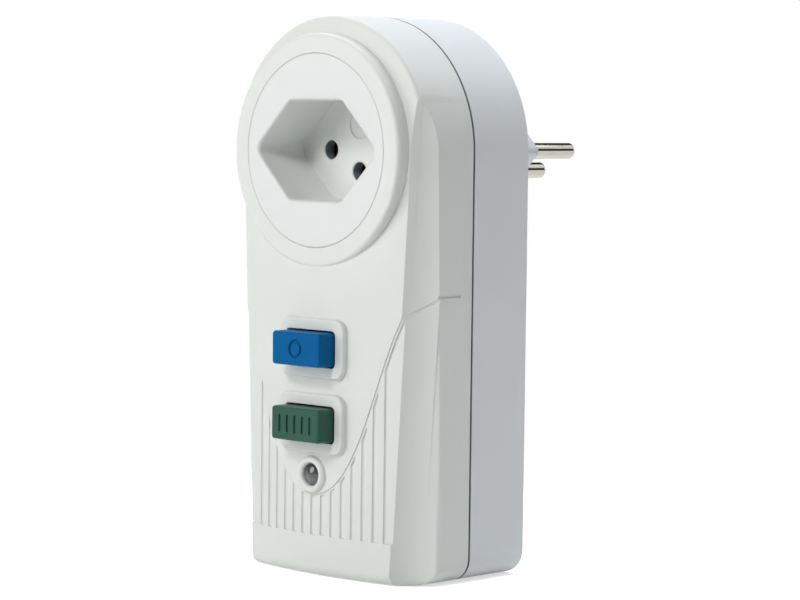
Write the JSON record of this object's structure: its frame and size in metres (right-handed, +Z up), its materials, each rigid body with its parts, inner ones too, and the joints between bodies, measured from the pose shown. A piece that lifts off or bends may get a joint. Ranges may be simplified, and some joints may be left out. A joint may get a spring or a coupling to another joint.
{
  "type": "residual current adapter plug",
  "caption": "Plug-in residual current adapter: arched housing with a recessed hexagonal socket, test and reset buttons, an indicator lamp, and a round-pin plug on the back.",
  "frame": {"origin": "on the flat base, under the middle of the whole width and of the depth from button faces to pin tips", "axes": "+Z up along the housing, -Y is the front with the socket, +Y is the way the plug pins point, +X right seen from the front"},
  "size_m": [0.0628, 0.0852, 0.1306],
  "materials": {
    "housing_white": "moulded white, fine satin grain",
    "socket_white": "moulded white, smooth",
    "test_blue": "moulded blue, satin",
    "reset_green": "moulded dark green, satin",
    "lamp_grey": "smoky translucent lens, unlit",
    "pin_nickel": "nickel plated brass, bright",
    "contact_brass": "rolled strip",
    "contact_copper": "rolled copper strip with silver tips",
    "steel": "zinc plated",
    "insulator_grey": "moulded",
    "carrier_ivory": "moulded",
    "board_green": "solder resist on glass-fibre laminate",
    "coil_copper": "enamelled winding wire",
    "core_tape": "taped ring winding",
    "component_tan": "dipped coating",
    "varistor_blue": "dipped coating",
    "chip_black": "moulded",
    "wire_brown": "insulation",
    "wire_blue": "insulation",
    "wire_green": "insulation",
    "wire_grey": "insulation"
  },
  "bodies": {
    "housing": {"front_cover": "housing_white", "rear_cover": "housing_white", "socket_insert": "socket_white", "indicator_lamp": "lamp_grey", "pin_line": "pin_nickel", "pin_neutral": "pin_nickel", "pin_earth": "pin_nickel", "contact_line": "contact_brass", "contact_neutral": "contact_brass", "contact_earth": "contact_brass", "test_leaf": "contact_brass", "fixed_contacts": "contact_copper", "housing_screws": "steel", "retainer_screws": "steel", "board_screws": "steel", "test_spring": "steel", "reset_spring": "steel", "opening_spring": "steel", "plunger_spring": "steel", "lamp_leads": "steel", "coil_yoke": "steel", "contact_retainer": "insulator_grey", "mechanism_frame": "insulator_grey", "circuit_board": "board_green", "trip_coil": "coil_copper", "core_transformer": "core_tape", "test_resistor": "component_tan", "capacitor": "component_tan", "varistor": "varistor_blue", "control_chip": "chip_black", "line_wire": "wire_brown", "neutral_wire": "wire_blue", "earth_wire": "wire_green", "load_wires": "wire_grey"},
    "test_button": {"test_button": "test_blue"},
    "reset_button": {"reset_button": "reset_green"},
    "contact_bridge": {"contact_carrier": "carrier_ivory", "moving_contacts": "contact_copper"},
    "trip_plunger": {"trip_plunger": "steel"}
  },
  "joints": [
    {"name": "test_press", "type": "slide", "parent": "housing", "child": "test_button", "axis": [0, 1, 0], "range_m": [0, 0.002], "stiffness_N_per_m": 500, "springref_m": -0.002, "deforming": ["test_spring", "test_leaf"]},
    {"name": "reset_press", "type": "slide", "parent": "housing", "child": "reset_button", "axis": [0, 1, 0], "range_m": [0, 0.0025], "stiffness_N_per_m": 700, "springref_m": -0.002, "deforming": ["reset_spring"]},
    {"name": "contacts_close", "type": "slide", "parent": "housing", "child": "contact_bridge", "axis": [0, 1, 0], "range_m": [0, 0.0025], "stiffness_N_per_m": 300, "springref_m": -0.002, "deforming": ["opening_spring"]},
    {"name": "plunger_trip", "type": "slide", "parent": "housing", "child": "trip_plunger", "axis": [-1, 0, 0], "range_m": [0, 0.0015], "stiffness_N_per_m": 200, "springref_m": -0.002, "deforming": ["plunger_spring"]}
  ],
  "couplings": [
    {"joint": "contacts_close", "follows": "reset_press", "ratio": 1}
  ]
}
